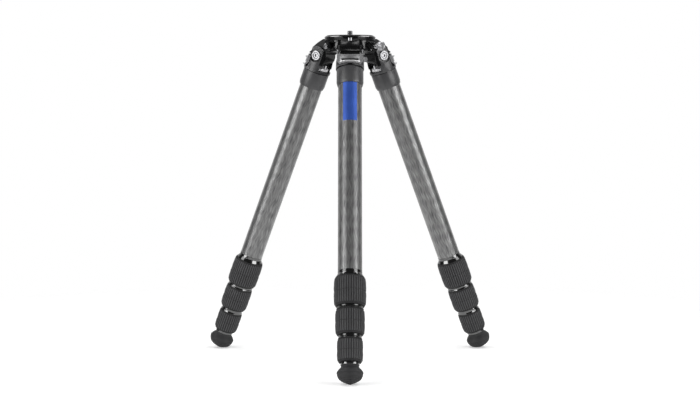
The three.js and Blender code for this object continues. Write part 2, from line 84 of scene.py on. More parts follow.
# ---------------- Studio
# A white backdrop seen by the camera and in the gloss, a dim room in front of it, a white floor that keeps
# the shadow and fades into the backdrop, and on each side three soft boxes from eye level to overhead.
def maths(nodes, links, operation, first, second=None):
    """The outcome of a math node on one or two values, each a number or a socket."""
    node = nodes.new("ShaderNodeMath")
    node.operation = operation
    for socket, value in zip(node.inputs, (first, second)):
        if isinstance(value, (int, float)):
            socket.default_value = value
        elif value is not None:
            links.new(value, socket)
    return node.outputs[0]


def set_inputs(node, values):
    """Sets some of a node's inputs, and gives the node back."""
    for name, value in values.items():
        node.inputs[name].default_value = value
    return node


def mapped(nodes, links, value, values, interpolation="LINEAR"):
    """A value carried over from one range to another."""
    node = set_inputs(nodes.new("ShaderNodeMapRange"), values)
    node.interpolation_type = interpolation
    links.new(value, node.inputs["Value"])
    return node.outputs["Result"]


def material_parts(name, values):
    """A material with some inputs of its shader set, then its nodes, links and shader."""
    material = bpy.data.materials.new(name)
    material.use_nodes = True
    nodes, links = material.node_tree.nodes, material.node_tree.links
    return material, nodes, links, set_inputs(nodes["Principled BSDF"], values)


def light_path_mask(nodes, links):
    """1 for camera, glossy and transmission rays, which see the white room, and 0 for the rest."""
    ray = nodes.new("ShaderNodeLightPath").outputs
    first = maths(nodes, links, "MAXIMUM", ray["Is Camera Ray"], ray["Is Glossy Ray"])
    return maths(nodes, links, "MAXIMUM", first, ray["Is Transmission Ray"])


world = bpy.data.worlds.new("white_room")
scene.world = world
world.use_nodes = True
nodes, links = world.node_tree.nodes, world.node_tree.links
nodes.clear()
direction = nodes.new("ShaderNodeTexCoord")
split = nodes.new("ShaderNodeSeparateXYZ")
links.new(direction.outputs["Generated"], split.inputs["Vector"])
behind = mapped(nodes, links, split.outputs["Y"], {
    "From Min": 0.25, "From Max": 0.97, "To Min": 0.05, "To Max": 1}, "SMOOTHSTEP")
seen = nodes.new("ShaderNodeLightPath")
level = maths(nodes, links, "MAXIMUM", seen.outputs["Is Camera Ray"], behind)
room = set_inputs(nodes.new("ShaderNodeBackground"), {"Color": (1, 1, 1, 1)})
links.new(level, room.inputs["Strength"])
fill = set_inputs(nodes.new("ShaderNodeBackground"), {"Color": (1, 1, 1, 1), "Strength": 0.22})
world_mix = nodes.new("ShaderNodeMixShader")
links.new(light_path_mask(nodes, links), world_mix.inputs[0])
links.new(fill.outputs[0], world_mix.inputs[1])
links.new(room.outputs[0], world_mix.inputs[2])
world_out = nodes.new("ShaderNodeOutputWorld")
links.new(world_mix.outputs[0], world_out.inputs["Surface"])

floor_half, fade_start, fade_end = 9, 0.45, 1.3  # metres
floor_corners = [(x * floor_half, y * floor_half, 0) for x, y in ((-1, -1), (1, -1), (1, 1), (-1, 1))]
floor_mesh = bpy.data.meshes.new("floor")
floor_mesh.from_pydata(floor_corners, [], [(0, 1, 2, 3)])
floor = placed("floor", floor_mesh)
floor_paint, nodes, links, floor_shader = material_parts("white_floor", {
    "Base Color": (0.9, 0.9, 0.9, 1), "Roughness": 0.9, "Specular IOR Level": 0,
    "Emission Color": (1, 1, 1, 1)})
floor_glow = maths(nodes, links, "MULTIPLY", light_path_mask(nodes, links), 0.3)
links.new(floor_glow, floor_shader.inputs["Emission Strength"])
spot = nodes.new("ShaderNodeTexCoord")
distance = nodes.new("ShaderNodeVectorMath")
distance.operation = "LENGTH"
links.new(spot.outputs["Object"], distance.inputs[0])
fade = mapped(nodes, links, distance.outputs["Value"], {
    "From Min": fade_start, "From Max": fade_end}, "SMOOTHSTEP")
beyond = nodes.new("ShaderNodeBsdfTransparent")
floor_mix = nodes.new("ShaderNodeMixShader")
links.new(fade, floor_mix.inputs[0])
links.new(floor_shader.outputs[0], floor_mix.inputs[1])
links.new(beyond.outputs[0], floor_mix.inputs[2])
links.new(floor_mix.outputs[0], nodes["Material Output"].inputs["Surface"])
floor_mesh.materials.append(floor_paint)


boxes_aim = Vector((0, 0, 0.35))


def soft_box(name, place, width, height, power):
    """A rectangular lamp, sizes in metres and power in watts, turned towards the tripod."""
    data = bpy.data.lights.new(name, "AREA")
    data.shape = "RECTANGLE"
    data.size, data.size_y = width, height
    data.energy = power
    lamp = placed(name, data)
    lamp.location = place
    lamp.rotation_euler = (boxes_aim - Vector(place)).to_track_quat("-Z", "Y").to_euler()


for side, x in (("left", -1), ("right", 1)):
    soft_box(f"{side}_level_box", (2.0 * x, -1.35, 0.6), 1.7, 1.1, 36)
    soft_box(f"{side}_high_box", (1.8 * x, -0.76, 1.7), 1.2, 1.2, 11)
    soft_box(f"{side}_top_box", (1.1 * x, 0.85, 2.3), 0.9, 0.9, 16)


# ---------------- Spider
# The black coated casting: a six-sided hub with its corners cut off, three arms that each end in a notched
# hinge drum, a tapered pocket in each wall between them, and a boss behind each of the two side fittings.
def copy_of(node, name):
    """The node's own shape with its loose triangles joined."""
    mesh = frame["nodes"][node].data.copy()
    mesh.materials.clear()
    bm = bmesh.new()
    bm.from_mesh(mesh)
    bmesh.ops.remove_doubles(bm, verts=bm.verts, dist=2e-6)
    bmesh.ops.dissolve_limit(bm, angle_limit=math.radians(1), verts=bm.verts, edges=bm.edges)
    bm.to_mesh(mesh)
    bm.free()
    return placed(name, mesh)


def piece_from(bm, name, place):
    """The built mesh as a piece of its own, set in its place."""
    bm.transform(place)
    mesh = bpy.data.meshes.new(name)
    bm.to_mesh(mesh)
    bm.free()
    return placed(name, mesh)


def plain(piece):
    """The piece's evaluated shape as its own mesh, with no modifier left."""
    bpy.context.view_layer.update()
    shape = bpy.data.meshes.new_from_object(piece.evaluated_get(bpy.context.evaluated_depsgraph_get()))
    piece.modifiers.clear()
    piece.data = shape
    smooth(shape)
    return piece


def smooth(mesh, angle=32):
    """Smooth shading, with edges sharper than the angle kept."""
    mesh.shade_smooth()
    mesh.set_sharp_from_angle(angle=math.radians(angle))


def noise(nodes, links, spot, values):
    """Soft noise read at a spot."""
    node = set_inputs(nodes.new("ShaderNodeTexNoise"), values)
    links.new(spot, node.inputs["Vector"])
    return node.outputs["Fac"]


def raise_surface(nodes, links, shader, height, strength, distance):
    """Bumps a material by a height, at most the distance in metres."""
    bump = set_inputs(nodes.new("ShaderNodeBump"), {"Strength": strength, "Distance": distance})
    links.new(height, bump.inputs["Height"])
    links.new(bump.outputs["Normal"], shader.inputs["Normal"])


def coated_metal(name, colour, roughness, grain, depth, metallic=0.0, gloss_level=0.5):
    """A painted or coated casting: a fine pebbled bump and slightly uneven gloss."""
    material, nodes, links, shader = material_parts(name, {
        "Metallic": metallic, "Specular IOR Level": gloss_level})
    spot = nodes.new("ShaderNodeTexCoord").outputs["Object"]
    cloud = noise(nodes, links, spot, {"Scale": 45, "Detail": 4})
    tone = nodes.new("ShaderNodeValToRGB")
    for end, position, share in zip(tone.color_ramp.elements, (0.3, 0.7), (0.85, 1.15)):
        end.position = position
        end.color = (*[c * share for c in colour], 1)
    links.new(cloud, tone.inputs["Fac"])
    links.new(tone.outputs["Color"], shader.inputs["Base Color"])
    gloss = mapped(nodes, links, cloud, {"To Min": roughness - 0.05, "To Max": roughness + 0.05})
    links.new(gloss, shader.inputs["Roughness"])
    pebble = noise(nodes, links, spot, {"Scale": grain, "Detail": 2})
    raise_surface(nodes, links, shader, pebble, depth, 0.0001)
    return material


def prism(outlines, place):
    """A closed solid through like-numbered rings of points, each ring a list of (x, y, z)."""
    bm = bmesh.new()
    rings = [[bm.verts.new(Vector(point) * MM) for point in outline] for outline in outlines]
    for low, high in zip(rings, rings[1:]):
        for k in range(len(low)):
            bm.faces.new((low[k], low[(k + 1) % len(low)], high[(k + 1) % len(low)], high[k]))
    bm.faces.new(rings[0][::-1])
    bm.faces.new(rings[-1])
    bmesh.ops.recalc_face_normals(bm, faces=bm.faces)
    return piece_from(bm, "tool", place)


def carve(piece, tool, operation="DIFFERENCE"):
    """Cuts a tool out of a piece, joins it on, or keeps what both fill."""
    step = piece.modifiers.new("carve", "BOOLEAN")
    step.operation = operation
    step.solver = "EXACT"
    step.object = tool
    bpy.context.view_layer.update()
    shape = bpy.data.meshes.new_from_object(piece.evaluated_get(bpy.context.evaluated_depsgraph_get()))
    piece.modifiers.clear()
    piece.data = shape
    bpy.data.objects.remove(tool)
    return piece


def coat(piece, *materials):
    """Swaps the piece's materials for these."""
    piece.data.materials.clear()
    for material in materials:
        piece.data.materials.append(material)


def break_edges(piece, edge):
    """Rounds the hard edges of a piece. Overlap is clamped, so the near-zero edges that the cuts leave hold
    the rounding to almost nothing."""
    bevel = piece.modifiers.new("broken_edges", "BEVEL")
    bevel.width = edge * MM
    bevel.segments = 2
    bevel.limit_method = "ANGLE"
    bevel.angle_limit = math.radians(35)
    bevel.harden_normals = False
    return plain(piece)


black_coat = coated_metal("black_coat", (0.008, 0.008, 0.0085), 0.28, 2600, 0.15, gloss_level=0.08)
cut_black = coated_metal("cut_black", (0.01, 0.01, 0.01), 0.22, 3000, 0.05, gloss_level=0.6)
top = Matrix.Translation((axis_x, axis_y, hinge_height))  # the tripod's axis at the hinges' height
leg_azimuths = {"front": -90, "right": 30, "left": 150}
to_wall = 60  # degrees from an arm to the hub's wall beside it
hub_floor, hub_side = 38.9, 24.8
hub_corner = ((10.5, 1.7), (24.6, 4.9))  # height and depth of the cut, which narrows downwards
cut_half, cut_beyond = 6, 4
hub_wall = hub_floor / 2 + hub_side * math.cos(math.radians(30))
pocket_floor, pocket_sill, pocket_head, pocket_half, pocket_foot = 29.95, 9.5, 21.0, 14.0, 3.0
mouth_depth, mouth_width = 1.5, 2.2
fill_half, fill_low, fill_high = 19, 8.4, 21.8  # the block that fills a pocket before it is cut again
knob_azimuth, ring_azimuth, fitting_height = -30, 210, 15
boss_root, boss_facets = 29, 40


def at_azimuth(azimuth, out=0.0, up=0.0):
    """A frame on the tripod's axis turned to an azimuth, then moved outwards and up."""
    return (top @ Matrix.Rotation(math.radians(azimuth), 4, "Z")
            @ Matrix.Translation((out * MM, 0, up * MM)))


spider = copy_of("spider", "spider_casting")
for azimuth in leg_azimuths.values():
    for side in (-1, 1):
        tip = Vector((hub_floor, side * hub_side))
        along, out = Vector((-0.5, 0.866 * side)), Vector((0.866, 0.5 * side))  # 30 degrees off the arm
        cut = []
        for height, depth in hub_corner:
            middle = tip - out * depth * 0.5
            corner = (middle - along * cut_half, middle + along * cut_half, tip + out * cut_beyond)
            cut.append([(*point, height) for point in corner])
        carve(spider, prism(cut, at_azimuth(azimuth)))


def pocket_outline(reach, grow):
    """A pocket's six-sided outline at a distance from the tripod's axis."""
    side, foot, shoulder = pocket_half + grow, pocket_foot + grow / 2, (pocket_sill + pocket_head) / 2
    return [(reach, y, z) for y, z in (
        (-side, pocket_head + grow), (-side, shoulder), (-foot, pocket_sill - grow),
        (foot, pocket_sill - grow), (side, shoulder), (side, pocket_head + grow))]


for azimuth in leg_azimuths.values():
    wall = at_azimuth(azimuth + to_wall)
    square = ((-fill_half, fill_low), (fill_half, fill_low), (fill_half, fill_high), (-fill_half, fill_high))
    filling = [[(reach, y, z) for y, z in square] for reach in (pocket_floor + 0.02, hub_wall + 0.01)]
    carve(spider, prism(filling, wall), "UNION")
    carve(spider, prism([
        pocket_outline(pocket_floor, -1), pocket_outline(hub_wall - mouth_depth, 0),
        pocket_outline(hub_wall + 1, mouth_width * (1 + 1 / mouth_depth))], wall))
for azimuth, radius, reach in ((knob_azimuth, 5.9, 49), (ring_azimuth, 6.4, 46)):
    boss = [[(distance, radius * math.cos(math.tau * k / boss_facets),
              fitting_height + radius * math.sin(math.tau * k / boss_facets))
             for k in range(boss_facets)] for distance in (boss_root, reach)]
    carve(spider, prism(boss, at_azimuth(azimuth)), "UNION")
break_edges(spider, 0.5)
coat(spider, black_coat, cut_black)  # the second on the machined corners and the mouths of the pockets
corner_near, corner_far, corner_in, corner_out = 33, 41, 18, 29  # from the axis, and from the arm's middle
mouth_half, mouth_low, mouth_high = 17.5, 6, 23.8
for azimuth in leg_azimuths.values():
    from_arm = at_azimuth(azimuth).inverted()
    from_wall = at_azimuth(azimuth + to_wall).inverted()
    for facet in spider.data.polygons:
        spot, lean = from_arm @ facet.center / MM, from_arm.to_3x3() @ facet.normal
        faces_corner = lean.x > 0.84 and 0.45 < abs(lean.y) < 0.55  # 30 degrees off the arm, nearly
        on_corner = (faces_corner and corner_near < spot.x < corner_far
                     and corner_in < abs(spot.y) < corner_out and spot.z < hub_corner[1][0])
        spot, lean = from_wall @ facet.center / MM, from_wall.to_3x3() @ facet.normal
        on_mouth = (hub_wall - mouth_depth - 0.1 < spot.x < hub_wall + 0.1 and abs(lean.x) < 0.93
                    and abs(spot.y) < mouth_half and mouth_low < spot.z < mouth_high)
        if on_corner or on_mouth:
            facet.material_index = 1
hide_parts("spider")
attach(spider, "head")


# ---------------- Platform plate and pad
# The plate is turned and black anodised, with a narrow chamfer round its rim. The pad is a thin disc of black
# rubber glued on it.
def softened(profile, radius=0.3, steps=3):
    """The profile with each inner corner rounded."""
    points = [profile[0]]
    for before, corner, after in zip(profile, profile[1:], profile[2:]):
        before, corner, after = Vector(before), Vector(corner), Vector(after)
        back, ahead = before - corner, after - corner
        reach = min(radius, 0.45 * back.length, 0.45 * ahead.length)
        if back.length < 1e-6 or ahead.length < 1e-6 or abs(back.angle(ahead) - math.pi) < 0.1:
            points.append(tuple(corner))
            continue
        start, end = corner + back.normalized() * reach, corner + ahead.normalized() * reach
        for i in range(steps + 1):
            t = i / steps
            points.append(tuple(start * (1 - t) ** 2 + corner * 2 * t * (1 - t) + end * t ** 2))
    points.append(profile[-1])
    return points


def turned(name, profile, material, steps=96, place=Matrix(), closed=False):
    """A piece turned about Z from [radius, height] points. u counts turns and v runs along the profile, which
    starts and ends on the axis or closes on itself."""
    bm = bmesh.new()
    uv_layer = bm.loops.layers.uv.new("UVMap")
    lengths = [0.0]
    for (r0, z0), (r1, z1) in zip(profile, profile[1:]):
        lengths.append(lengths[-1] + math.hypot(r1 - r0, z1 - z0))
    rows = []
    for radius, height in profile:
        if radius < 1e-6:
            rows.append([bm.verts.new((0, 0, height * MM))] * steps)
            continue
        rows.append([bm.verts.new((radius * MM * math.cos(math.tau * k / steps),
                                   radius * MM * math.sin(math.tau * k / steps), height * MM))
                     for k in range(steps)])
    pairs = list(zip(range(len(rows)), range(1, len(rows))))
    if closed:
        pairs.append((len(rows) - 1, 0))
        lengths.append(lengths[-1] + (Vector(profile[0]) - Vector(profile[-1])).length)
    for low, high in pairs:
        for k in range(steps):
            corners = [(rows[low][k], k, low), (rows[low][(k + 1) % steps], k + 1, low),
                       (rows[high][(k + 1) % steps], k + 1, high), (rows[high][k], k, high)]
            kept = []
            for corner in corners:
                if all(corner[0] is not other[0] for other in kept):
                    kept.append(corner)
            if len(kept) < 3:
                continue
            face = bm.faces.new([corner[0] for corner in kept])
            for loop, (_, turn, row) in zip(face.loops, kept):
                along = lengths[low + 1] if (row == 0 and low) else lengths[row]
                loop[uv_layer].uv = (turn / steps, along)
    bmesh.ops.recalc_face_normals(bm, faces=bm.faces)
    piece = piece_from(bm, name, place)
    smooth(piece.data)
    piece.data.materials.append(material)
    return piece


def stands_for(piece, node, body):
    """The piece replaces a node, which is hidden, and rides with its body."""
    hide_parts(node)
    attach(piece, body)
    return piece


def turned_metal(name, colour, roughness, rings=1400.0):
    """Bare metal with fine turning marks round the piece's own axis, read from its UV map."""
    material, nodes, links, shader = material_parts(name, {"Metallic": 1, "Base Color": (*colour, 1)})
    chart = nodes.new("ShaderNodeUVMap")
    chart.uv_map = "UVMap"
    stretch = set_inputs(nodes.new("ShaderNodeMapping"), {"Scale": (3, rings / 100, 1)})
    links.new(chart.outputs["UV"], stretch.inputs["Vector"])
    marks = noise(nodes, links, stretch.outputs["Vector"], {"Scale": 1, "Detail": 3})
    gloss = mapped(nodes, links, marks, {"To Min": roughness - 0.07, "To Max": roughness + 0.1})
    links.new(gloss, shader.inputs["Roughness"])
    raise_surface(nodes, links, shader, marks, 0.25, 0.00005)
    return material


def soft_rubber(name, colour, roughness):
    """Moulded rubber: matte, with a fine grain and a slightly dusty unevenness."""
    return coated_metal(name, colour, roughness, 1800, 0.5, gloss_level=0.3)


black_anodised = coated_metal("black_anodised", (0.006, 0.006, 0.006), 0.16, 3000, 0.04, gloss_level=0.8)
plate_under, plate_top, plate_radius, rim_chamfer = 30.3, 32.7, 44.5, 1.5
plate_bore, recess_radius, recess_top, spigot_radius, spigot_end = 5.26, 25, 27.0, 35.7, 23.1
plate = turned("platform_plate_turned", softened([
    (plate_bore, recess_top), (recess_radius, recess_top), (recess_radius, spigot_end),
    (spigot_radius, spigot_end), (spigot_radius, plate_under), (plate_radius, plate_under),
    (plate_radius, plate_top - rim_chamfer), (plate_radius - rim_chamfer, plate_top), (plate_bore, plate_top),
    (plate_bore, recess_top)], 0.12, 2)[:-1], black_anodised, steps=160, place=top, closed=True)
stands_for(plate, "platform_plate", "head")

pad_rubber = soft_rubber("pad_rubber", (0.009, 0.009, 0.009), 0.8)
pad_bore, pad_radius, pad_under, pad_face, pad_slope = 5.96, 42.6, 32.9, 34.5, 4.0
pad = turned("platform_pad_disc", softened([
    (pad_bore, pad_under), (pad_radius, pad_under), (pad_radius - pad_slope, pad_face - 0.1),
    (pad_radius - pad_slope - 0.6, pad_face), (pad_bore, pad_face), (pad_bore, pad_under)], 0.2, 2)[:-1],
    pad_rubber, steps=160, place=top, closed=True)
stands_for(pad, "platform_pad", "head")


# ---------------- Camera screw
# The steel 3/8 inch stud, 16 threads to the inch, cut on the end of a flanged screw that is turned with a
# hexagon key from below.
steel = turned_metal("steel", (0.42, 0.42, 0.43), 0.36)
polished_steel = turned_metal("polished_steel", (0.2, 0.2, 0.205), 0.09, rings=200)
stud_radius, stud_foot, stud_tip = 4.76, 30, 42.5
thread_pitch, thread_depth, thread_steps = 25.4 / 16, 0.85, 48


def threaded_stud(name, place):
    """The stud with its thread cut as a helix that runs out at the tip."""
    bm = bmesh.new()
    uv_layer = bm.loops.layers.uv.new("UVMap")
    rows = []
    count = int((stud_tip - stud_foot) / thread_pitch * 10)
    for i in range(count + 1):
        height = stud_foot + (stud_tip - stud_foot) * i / count
        row = []
        for k in range(thread_steps):
            phase = (height / thread_pitch - k / thread_steps) % 1
            crest = max(0.0, min(1.0, 2.2 * abs(phase - 0.5) * 2 - 0.6))
            run_out = max(0.0, min(1.0, (stud_tip - height) / 0.9))
            radius = (stud_radius - thread_depth + thread_depth * crest * run_out - 0.3 * (1 - run_out)) * MM
            angle = math.tau * k / thread_steps
            row.append(bm.verts.new((radius * math.cos(angle), radius * math.sin(angle), height * MM)))
        rows.append(row)
    for low, high in zip(rows, rows[1:]):
        for k in range(thread_steps):
            bm.faces.new((low[k], low[(k + 1) % thread_steps], high[(k + 1) % thread_steps], high[k]))
    bm.faces.new(rows[-1])
    bm.faces.new(rows[0][::-1])
    for face in bm.faces:
        for loop in face.loops:
            spot = loop.vert.co
            loop[uv_layer].uv = (math.atan2(spot.y, spot.x) / math.tau, spot.z / MM)
    bmesh.ops.recalc_face_normals(bm, faces=bm.faces)
    piece = piece_from(bm, name, place)
    smooth(piece.data, 50)
    piece.data.materials.append(polished_steel)
    return piece


def hex_recess(piece, across_flats, place, depth):
    """Cuts a hexagon socket into a piece, down local Z from the mouth at place."""
    bm = bmesh.new()
    corner = across_flats * MM / math.sqrt(3)
    bmesh.ops.create_cone(bm, cap_ends=True, segments=6, radius1=corner, radius2=corner, depth=2 * depth * MM)
    carve(piece, piece_from(bm, "key", place))
    smooth(piece.data)
    return piece


shank_end, shank_radius, flange_under, flange_top, flange_radius = 10.5, 8, 23.7, 26.7, 14
stud = threaded_stud("camera_screw_stud", top)
screw_flange = turned("camera_screw_flange", softened([
    (0, shank_end), (shank_radius, shank_end), (shank_radius, flange_under), (flange_radius, flange_under),
    (flange_radius, flange_top), (4.2, flange_top), (4.2, 30.2), (0, 30.2)], 0.4), steel, place=top)
hex_recess(screw_flange, 9, top @ Matrix.Translation((0, 0, shank_end * MM)), 6)
for piece in (stud, screw_flange):
    stands_for(piece, "camera_screw", "camera_screw")


# ---------------- Fittings of the spider
# Turned steel: the lock pin beside the plate, the clamp knob and the ring screw on either side of the front
# arm, and the knurled release knob under the hub.
def facing(azimuth, height):
    """A frame at the tripod's axis whose Z points outwards at an azimuth."""
    return at_azimuth(azimuth, up=height) @ Matrix.Rotation(math.radians(90), 4, "Y")


def grown(name, sizes, build, material, place):
    """A piece made by Geometry Nodes. Build links copies of one part from the named sizes, in metres or as
    counts. They are then made real, painted and set in place."""
    tree = bpy.data.node_groups.new(name, "GeometryNodeTree")
    tree.interface.new_socket("Geometry", in_out="OUTPUT", socket_type="NodeSocketGeometry")
    settings = {}
    for label, size in sizes.items():
        kind = "NodeSocketInt" if isinstance(size, int) else "NodeSocketFloat"
        settings[tree.interface.new_socket(label, in_out="INPUT", socket_type=kind).identifier] = size
    nodes, links = tree.nodes, tree.links
    copies = nodes.new("GeometryNodeInstanceOnPoints")
    build(nodes, links, nodes.new("NodeGroupInput").outputs, copies.inputs)
    real = nodes.new("GeometryNodeRealizeInstances")
    links.new(copies.outputs["Instances"], real.inputs["Geometry"])
    paint = set_inputs(nodes.new("GeometryNodeSetMaterial"), {"Material": material})
    links.new(real.outputs["Geometry"], paint.inputs["Geometry"])
    out = nodes.new("NodeGroupOutput")
    links.new(paint.outputs["Geometry"], out.inputs["Geometry"])
    piece = placed(name, bpy.data.meshes.new(name))
    modifier = piece.modifiers.new(name, "NODES")
    modifier.node_group = tree
    for identifier, size in settings.items():
        modifier[identifier] = size
    plain(piece)
    piece.data.transform(place)
    return piece


def knurl(name, count, radius, low, high, size, material, place):
    """Fine ridges round a knob, between two distances along its axis."""
    def build(nodes, links, given, copies):
        """One ridge on every point of a circle."""
        circle = nodes.new("GeometryNodeMeshCircle")
        links.new(given["Ridges"], circle.inputs["Vertices"])
        links.new(given["Radius"], circle.inputs["Radius"])
        ridge = set_inputs(nodes.new("GeometryNodeMeshCylinder"), {"Vertices": 6})
        links.new(given["Width"], ridge.inputs["Radius"])
        links.new(given["Length"], ridge.inputs["Depth"])
        links.new(circle.outputs["Mesh"], copies["Points"])
        links.new(ridge.outputs["Mesh"], copies["Instance"])

    sizes = {"Ridges": count, "Radius": radius * MM, "Length": (high - low) * MM, "Width": size * MM}
    middle = Matrix.Translation((0, 0, (low + high) / 2 * MM))
    return grown(name, sizes, build, material, place @ middle)


pin_place = at_azimuth(leg_azimuths["front"], out=49.55)
pin = turned("lock_pin_turned", softened([
    (0, 19), (4.35, 19), (4.35, 28.6), (3.9, 29.1), (2.6, 29.1), (2.2, 28.7), (0, 28.6)], 0.3),
    polished_steel, steps=64, place=pin_place)
stands_for(pin, "lock_pin", "lock_pin")

knob_place = facing(knob_azimuth, fitting_height)
knob_near, knob_far, knob_radius = 57.4, 66, 7.6
clamp_knob = turned("clamp_knob_turned", softened([
    (0, 25), (3.9, 25), (3.9, 55.9), (2.9, 55.9), (2.9, knob_near), (7.0, knob_near),
    (knob_radius, knob_near + 0.8), (knob_radius, knob_far - 0.8), (7.0, knob_far), (4.2, knob_far),
    (3.6, knob_far - 0.6), (0, knob_far - 0.6)], 0.35), steel, steps=80, place=knob_place)
clamp_ridges = knurl("clamp_knob_ridges", 40, knob_radius - 0.1, 58.8, 64.6, 0.34, steel, knob_place)
for piece in (clamp_knob, clamp_ridges):
    stands_for(piece, "clamp_knob", "clamp_knob")

bolt_steel = turned_metal("bolt_steel", (0.38, 0.38, 0.39), 0.46)
ring_place = facing(ring_azimuth, fitting_height)
ring_shank, ring_head, ring_seat, ring_end = 2.6, 4.8, 46.3, 50
ring_screw = turned("ring_screw_turned", softened([
    (0, 33), (ring_shank, 33), (ring_shank, ring_seat), (ring_head, ring_seat), (ring_head, ring_end - 0.5),
    (ring_head - 0.5, ring_end), (0, ring_end)], 0.3), bolt_steel, steps=64, place=ring_place)
hex_recess(ring_screw, 4, ring_place @ Matrix.Translation((0, 0, ring_end * MM)), 3)
stands_for(ring_screw, "ring_screw", "head")

dull_steel = turned_metal("dull_steel", (0.16, 0.16, 0.165), 0.5)
release_place = at_azimuth(-30, out=22.6)
release_knob = turned("release_knob_turned", softened([
    (0, -12), (9.3, -12), (10.1, -11.2), (10.1, -3.5), (7.0, 0.5), (4, 0.5), (4, 9.1), (0, 9.1)], 0.4),
    dull_steel, steps=80, place=release_place)
release_ridges = knurl("release_knob_ridges", 48, 10.05, -10.6, -4.2, 0.38, dull_steel, release_place)
for piece in (release_knob, release_ridges):
    stands_for(piece, "release_knob", "release_knob")

# ---------------- Forks
# A dark grey casting on each leg: two round cheeks beside the hinge drum, a collar with a seam, and the
# sleeve that the top tube is glued in.
leg_spread = 22.71
legs = {
    leg: Matrix.Translation(hinges[f"{leg}_leg"]) @ Matrix.Rotation(math.radians(azimuth), 4, "Z")
    @ Matrix.Rotation(math.radians(-leg_spread), 4, "Y")
    for leg, azimuth in leg_azimuths.items()
}
grey_coat = coated_metal("grey_coat", (0.05, 0.05, 0.052), 0.38, 2200, 0.4, gloss_level=0.5)
tab_top, tab_end, wing_top, wing_edge, wing_corner = 9.0, 25.0, 4.5, 8.6, 9.0
wing_inner, wing_outer = 22.0, 24.2
outside = 60.0  # beyond the leg on every side, for the tools that cut right through
hollow_radius, hollow_reach, hollow_drop = 9, 30.1, 22.3


def tab_space(outer, gap, place):
    """What the angle tab takes up round the fork's outer face, grown by a gap."""
    near, upper, lower = wing_inner - gap, gap - wing_top, -(tab_end + gap)
    shell = turned("tool", [(near, lower), (outer, lower), (outer, upper), (near, upper)],
                   black_coat, place=place, closed=True)
    edge = wing_edge - gap
    outline = [(edge, upper), (edge, wing_corner - gap - tab_end), (edge + wing_corner, lower - 1),
               (outside, lower - 1), (outside, upper)]
    wings = prism([[(x, y, z) for x, z in outline] for y in (-outside, outside)], place)
    return carve(shell, wings, "INTERSECT")


def thumb_hollow(place):
    """A shallow oval that lets a finger in under the tab."""
    bm = bmesh.new()
    bmesh.ops.create_uvsphere(bm, u_segments=48, v_segments=24, radius=hollow_radius * MM)
    bmesh.ops.scale(bm, vec=(1, 1.9, 1), verts=bm.verts)
    return piece_from(bm, "tool", place @ Matrix.Translation((hollow_reach * MM, 0, -hollow_drop * MM)))


def block(near, far, half_width, low, high, place, side=0):
    """A block in a leg's frame, across the middle plane or wholly on one side of it."""
    y0, y1 = (-half_width, half_width) if side == 0 else sorted((side * half_width, side * outside))
    corners = [(near, low), (far, low), (far, high), (near, high)]
    return prism([[(x, y, z) for x, z in corners] for y in (y0, y1)], place)


cheek_face, plug_top, window_half, window_end = 19.5, 19.2, 19.0, 24.4
cheek_foot, slot_radius, slot_end = -3, 23, -30
for leg, place in legs.items():
    fork = copy_of(f"{leg}_fork", f"{leg}_fork_casting")
    carve(fork, tab_space(outside, 0.4, place))
    carve(fork, thumb_hollow(place))
    carve(fork, block(-outside, 0, window_half, -window_end, -plug_top, place))
    for side in (-1, 1):
        carve(fork, block(-outside, outside, cheek_face, cheek_foot, outside, place, side))
    break_edges(fork, 0.5)
    coat(fork, grey_coat, black_coat)  # the second, black, is painted shade in the slot between the cheeks and on their rims
    to_leg = place.inverted()
    for facet in fork.data.polygons:
        spot = to_leg @ facet.center / MM
        # faces in the slot take the black coat as painted shade
        slot_shade = math.hypot(spot.x, spot.y) < slot_radius and abs(spot.y) < cheek_face - 0.2
        facet.material_index = 1 if slot_shade and spot.z > slot_end else 0
    stands_for(fork, f"{leg}_fork", f"{leg}_leg")

# ---------------- Hinge bolts
# A steel bolt through the cheeks and the drum, with the same round head and hexagon socket at both ends.
across_leg = Matrix.Rotation(math.radians(90), 4, "X")
bolt_end, bolt_seat, bolt_radius = 21.3, 19.8, 4.75
for leg, place in legs.items():
    along_hinge = place @ across_leg
    head = [(0, bolt_end), (4.4, bolt_end), (5.2, 21.9), (6.0, 22.3), (7.8, 22.2), (8.5, 21.5),
            (8.5, bolt_seat)]
    shank = [(bolt_radius, -bolt_seat), (bolt_radius, bolt_seat)]
    outline = softened([(r, -z) for r, z in head] + shank + head[::-1], 0.25)
    bolt = turned(f"{leg}_hinge_bolt_turned", outline, bolt_steel, steps=80, place=along_hinge)
    for end in (bolt_end, -bolt_end):
        hex_recess(bolt, 5, along_hinge @ Matrix.Translation((0, 0, end * MM)), 2.5)
    stands_for(bolt, f"{leg}_hinge_bolt", f"{leg}_leg")

# ---------------- Angle tabs
# The pull tab that sets the angle of the leg: satin bare metal, with a lip above and below the finger grip
# and wings that wrap round the fork. Its undercut groove is painted black as shade, and the scoop below it
# is painted pale as a highlight.
satin_metal = coated_metal("satin_metal", (0.23, 0.23, 0.235), 0.5, 1500, 0.12, metallic=0.7)
# pale and only partly metallic: a painted highlight of the light from above on the scoop
scoop_highlight_metal = coated_metal("scoop_highlight_metal", (0.8, 0.8, 0.81), 0.42, 1500, 0.08, metallic=0.45)
grip_half = 17.2
lip_reach, lip_round, face_reach = 27.5, 30.0, 24.5
groove_top, groove_end, groove_reach, groove_half = 17.0, 19.1, 21.5, 14.4
lip_sag = 3.0  # how much lower the middle of the upper lip is than its ends
behind_leg = lip_round - lip_reach  # the grip is turned about an axis this far behind the leg's
grip_root, scoop_foot, scoop_depth = 15, 1.5, 1.6


def bend(y, z):
    """How far the grip is raised at a place, so that its upper lip sags towards the middle."""
    if abs(y) > grip_half + 0.1:
        return 0.0
    rise = max(0.0, min(1.0, (z + tab_end) / (tab_end - tab_top - 4)))
    return lip_sag * rise * ((y / grip_half) ** 2 - 0.35)


